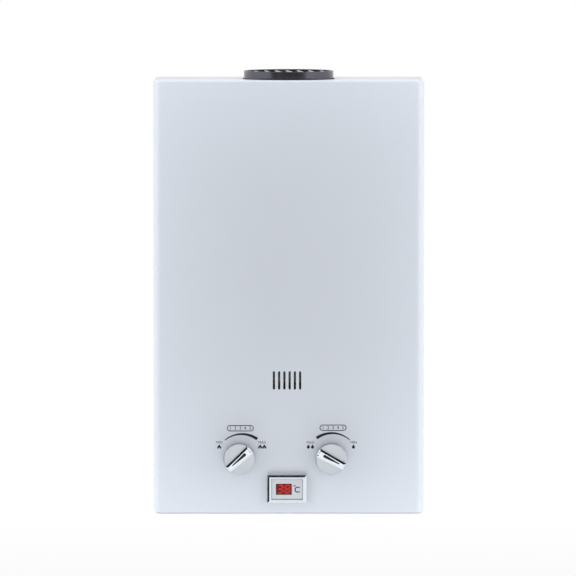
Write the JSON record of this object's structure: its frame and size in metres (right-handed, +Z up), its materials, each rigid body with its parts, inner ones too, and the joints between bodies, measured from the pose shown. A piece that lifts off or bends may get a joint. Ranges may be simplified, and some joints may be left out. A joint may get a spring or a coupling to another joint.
{
  "type": "tankless gas water heater",
  "caption": "Wall-hung tankless gas water heater: slim silver case with a flue collar on top, sight slots, two control knobs, a temperature display and threaded pipe stubs below.",
  "frame": {"origin": "middle of the wall face, the rear of the back plate", "axes": "+X to the right seen from the front, +Y into the wall, +Z up; the front panel faces -Y"},
  "size_m": [0.33, 0.148, 0.542],
  "materials": {
    "panel_paint": "semi-gloss silver white paint",
    "zinc_sheet": "zinc coated sheet",
    "screw_steel": "zinc plated",
    "flue_steel": "heat proof dark grey",
    "copper": "bare copper",
    "brass": "turned",
    "burner_steel": "stainless",
    "cast_alloy": "die cast",
    "black_plastic": "moulded",
    "grey_plastic": "moulded",
    "chrome_knob": "satin and bright chrome",
    "display_face": "smooth grey",
    "display_red": "dark red window",
    "circuit_board": "lacquered board",
    "ceramic": "glazed ceramic",
    "lead_red": "silicone sleeve",
    "lead_grey": "sleeved",
    "rubber": "moulded",
    "mica": "clear mica",
    "cell_jacket": "plain jacket"
  },
  "bodies": {
    "heater": {"front_cover": "panel_paint", "back_plate": "zinc_sheet", "cover_screws": "screw_steel", "connection_shelf": "zinc_sheet", "draft_hood": "zinc_sheet", "flue_collar": "flue_steel", "flue_screws": "screw_steel", "flue_guard": "flue_steel", "exchanger_shell": "copper", "exchanger_fins": "copper", "exchanger_tubes": "copper", "exchanger_brackets": "zinc_sheet", "inlet_coil": "copper", "hot_pipe": "copper", "pipe_unions": "brass", "overheat_sensor": "cast_alloy", "sight_glass": "mica", "burner_tray": "zinc_sheet", "burner_bars": "burner_steel", "gas_manifold": "zinc_sheet", "gas_injectors": "brass", "spark_electrode": "ceramic", "flame_sensor": "ceramic", "ignition_module": "black_plastic", "ignition_leads": "lead_red", "control_leads": "lead_grey", "gas_valve_body": "cast_alloy", "gas_solenoid": "black_plastic", "gas_inlet_nipple": "brass", "return_spring": "screw_steel", "valve_tie_bars": "screw_steel", "microswitch": "black_plastic", "diaphragm_cover": "brass", "diaphragm": "rubber", "valve_screws": "screw_steel", "water_valve_body": "brass", "spindle_glands": "brass", "cold_inlet_nipple": "brass", "hot_outlet_nipple": "brass", "lock_nuts": "brass", "battery_box": "grey_plastic", "lid_hinge_pin": "screw_steel", "battery_cells": "cell_jacket", "battery_contacts": "screw_steel", "display_bezel": "chrome_knob", "display_panel": "display_face", "display_lens": "display_red", "display_board": "circuit_board", "display_housing": "grey_plastic"},
    "temperature_control": {"temperature_knob": "chrome_knob", "temperature_pointer": "black_plastic", "gas_spindle": "brass"},
    "water_control": {"water_knob": "chrome_knob", "water_pointer": "black_plastic", "water_spindle": "brass"},
    "lid": {"battery_lid": "grey_plastic"},
    "rod": {"push_rod": "brass"},
    "lever": {"switch_lever": "screw_steel"},
    "drain": {"drain_plug": "black_plastic"}
  },
  "joints": [
    {"name": "temperature_turn", "type": "hinge", "parent": "heater", "child": "temperature_control", "pos_m": [-0.0605, -0.13, -0.1965], "axis": [0, -1, 0], "range_deg": [0, 105]},
    {"name": "water_turn", "type": "hinge", "parent": "heater", "child": "water_control", "pos_m": [0.052, -0.13, -0.1965], "axis": [0, -1, 0], "range_deg": [-115, 0]},
    {"name": "battery_lid_swing", "type": "hinge", "parent": "heater", "child": "lid", "pos_m": [0.133, -0.0304, -0.26], "axis": [1, 0, 0], "range_deg": [0, 92]},
    {"name": "push_rod_slide", "type": "slide", "parent": "heater", "child": "rod", "axis": [-1, 0, 0], "range_m": [0, 0.004], "stiffness_N_per_m": 500, "deforming": ["return_spring"]},
    {"name": "switch_lever_tilt", "type": "hinge", "parent": "heater", "child": "lever", "pos_m": [-0.032, -0.073, -0.1848], "axis": [0, -1, 0], "range_deg": [0, 4.2]},
    {"name": "drain_plug_turn", "type": "hinge", "parent": "heater", "child": "drain", "pos_m": [0.068, -0.056, -0.24], "axis": [0, 0, -1], "range_deg": [0, 270]}
  ],
  "couplings": [
    {"joint": "switch_lever_tilt", "follows": "push_rod_slide", "rad_per_m": 17.4}
  ]
}
